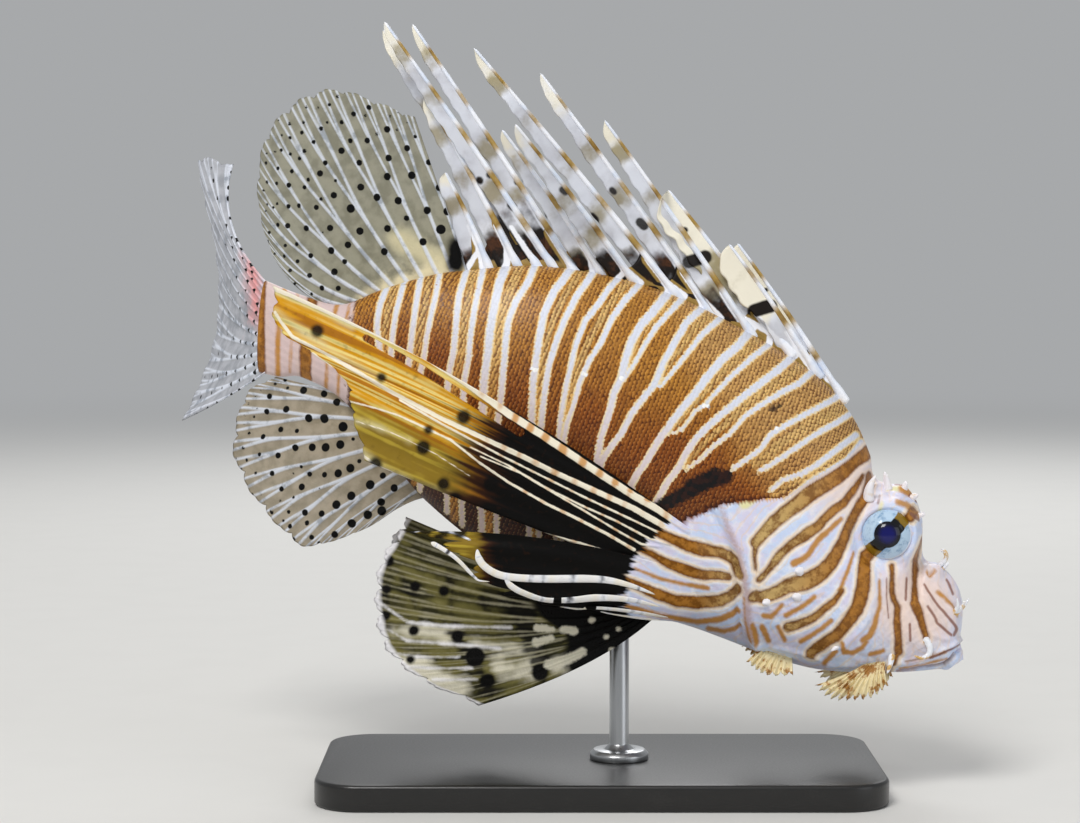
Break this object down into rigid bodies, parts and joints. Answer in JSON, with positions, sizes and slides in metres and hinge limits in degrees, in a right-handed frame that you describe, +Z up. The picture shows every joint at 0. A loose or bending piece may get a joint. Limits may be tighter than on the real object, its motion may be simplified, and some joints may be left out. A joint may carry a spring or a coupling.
{
  "type": "red lionfish on a display stand",
  "caption": "Life-size still model of a red lionfish swimming nose down with its fins spread, held by one rod on a flat base.",
  "frame": {"origin": "centre of the underside of the stand's base, on the surface it stands on", "axes": "+Z up; +X towards the fish's snout, seen from above; +Y towards the fish's left side, so -Y faces the viewer of the picture"},
  "size_m": [0.2458, 0.1205, 0.2331],
  "materials": {
    "skin": "scaled fish skin in brown and white bars, satin with a wet sheen",
    "eye": "clear domed eye with a pale ring and a dark pupil",
    "fin_spine": "pale banded spines with thin banded skin",
    "fin_web": "thin see-through fin skin with pale rays and dark spots",
    "flap": "soft golden brown fringed skin",
    "stand_base": "satin black",
    "stand_rod": "brushed"
  },
  "bodies": {
    "root": {"head": "skin", "lower_jaw": "skin", "trunk": "skin", "tail": "skin", "eye_right": "eye", "eye_left": "eye", "spiny_dorsal_fin": "fin_spine", "soft_dorsal_fin": "fin_web", "anal_fin": "fin_web", "tail_fin": "fin_web", "pectoral_fin_right": "fin_web", "pectoral_fin_left": "fin_web", "pelvic_fin_right": "fin_web", "pelvic_fin_left": "fin_web", "lip_flap_right": "flap", "lip_flap_left": "flap", "cheek_flap_right": "flap", "cheek_flap_left": "flap", "nose_feeler_right": "flap", "nose_feeler_left": "flap", "lip_feeler_right": "flap", "lip_feeler_left": "flap", "stand_base": "stand_base", "stand_rod": "stand_rod"}
  },
  "joints": []
}
